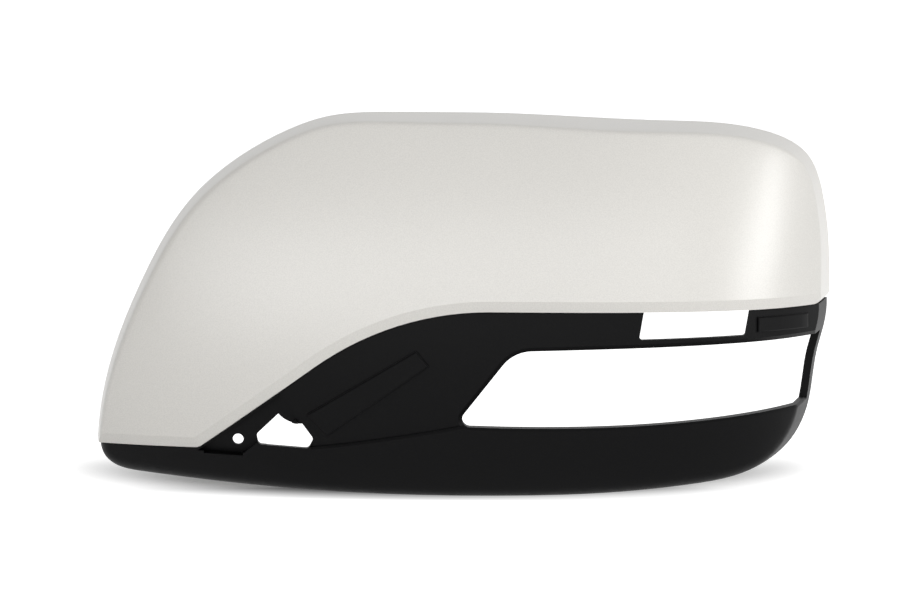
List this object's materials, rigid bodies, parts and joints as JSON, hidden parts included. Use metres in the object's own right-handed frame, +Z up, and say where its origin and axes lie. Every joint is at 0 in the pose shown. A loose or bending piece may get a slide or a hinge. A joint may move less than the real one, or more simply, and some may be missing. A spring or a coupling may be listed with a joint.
{
  "type": "wing mirror cover",
  "caption": "Car door mirror cover: painted upper cap clipped over a black moulded trim with a lamp opening, open at the back.",
  "frame": {"origin": "middle of the rear rim plane, where the cover seats on the mirror housing", "axes": "+X outboard along the width, -Y out of the front of the cover, +Z up"},
  "size_m": [0.272, 0.072, 0.1402],
  "materials": {
    "pearl_paint": "warm white pearl paint",
    "black_plastic": "fine-grained satin black"
  },
  "bodies": {
    "root": {"upper_cap": "pearl_paint", "lower_trim": "black_plastic"}
  },
  "joints": []
}
